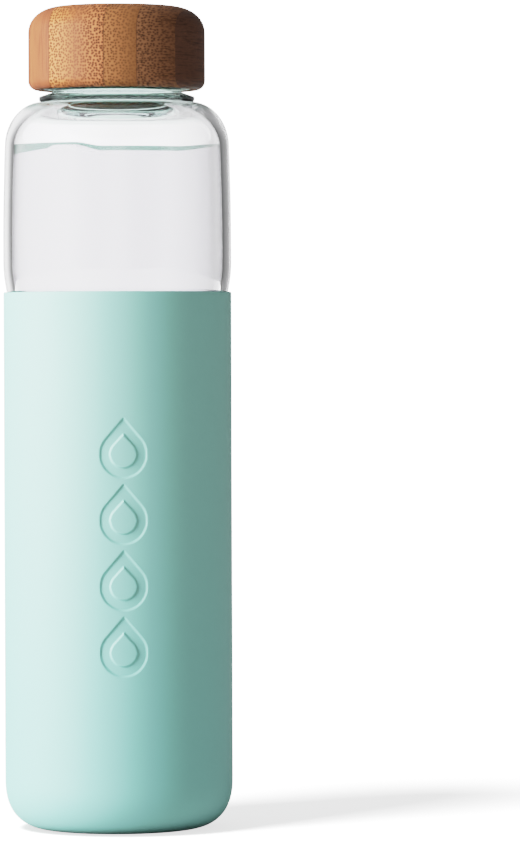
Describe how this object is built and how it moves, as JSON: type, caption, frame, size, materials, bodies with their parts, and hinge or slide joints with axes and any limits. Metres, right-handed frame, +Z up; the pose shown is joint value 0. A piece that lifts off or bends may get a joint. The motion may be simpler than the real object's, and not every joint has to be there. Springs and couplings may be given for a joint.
{
  "type": "glass water bottle",
  "caption": "Slim reusable glass water bottle with a mint silicone sleeve, a column of sunk drops on its front, and a rounded screw cap of laminated bamboo.",
  "frame": {"origin": "centre of the sleeve's base, on the surface the bottle stands on", "axes": "+Z up along the bottle's axis, -Y towards the front with the column of drops, +X to the right seen from the front"},
  "size_m": [0.075, 0.075, 0.271],
  "materials": {
    "sleeve_silicone": "matte mint silicone",
    "clear_glass": "clear polished borosilicate glass",
    "seal_silicone": "milky silicone",
    "insert_plastic": "satin moulded polypropylene",
    "bamboo": "satin oiled bamboo"
  },
  "bodies": {
    "sleeve": {"silicone_sleeve": "sleeve_silicone"},
    "bottle": {"glass_bottle": "clear_glass"},
    "seal": {"seal_ring": "seal_silicone"},
    "cap": {"thread_insert": "insert_plastic", "bamboo_strip_1": "bamboo", "bamboo_strip_2": "bamboo", "bamboo_strip_3": "bamboo", "bamboo_strip_4": "bamboo", "bamboo_strip_5": "bamboo", "bamboo_strip_6": "bamboo", "bamboo_strip_7": "bamboo"}
  },
  "joints": [
    {"name": "bottle_lift", "type": "slide", "parent": "sleeve", "child": "bottle", "axis": [0, 0, 1], "range_m": [0, 0.18]},
    {"name": "cap_rise", "type": "slide", "parent": "bottle", "child": "seal", "axis": [0, 0, 1], "range_m": [0, 0.0225]},
    {"name": "cap_turn", "type": "hinge", "parent": "seal", "child": "cap", "pos_m": [0, 0, 0.2432], "axis": [0, 0, 1], "range_deg": [0, 1620]}
  ],
  "couplings": [
    {"joint": "cap_rise", "follows": "cap_turn", "m_per_rad": 0.00079577}
  ]
}
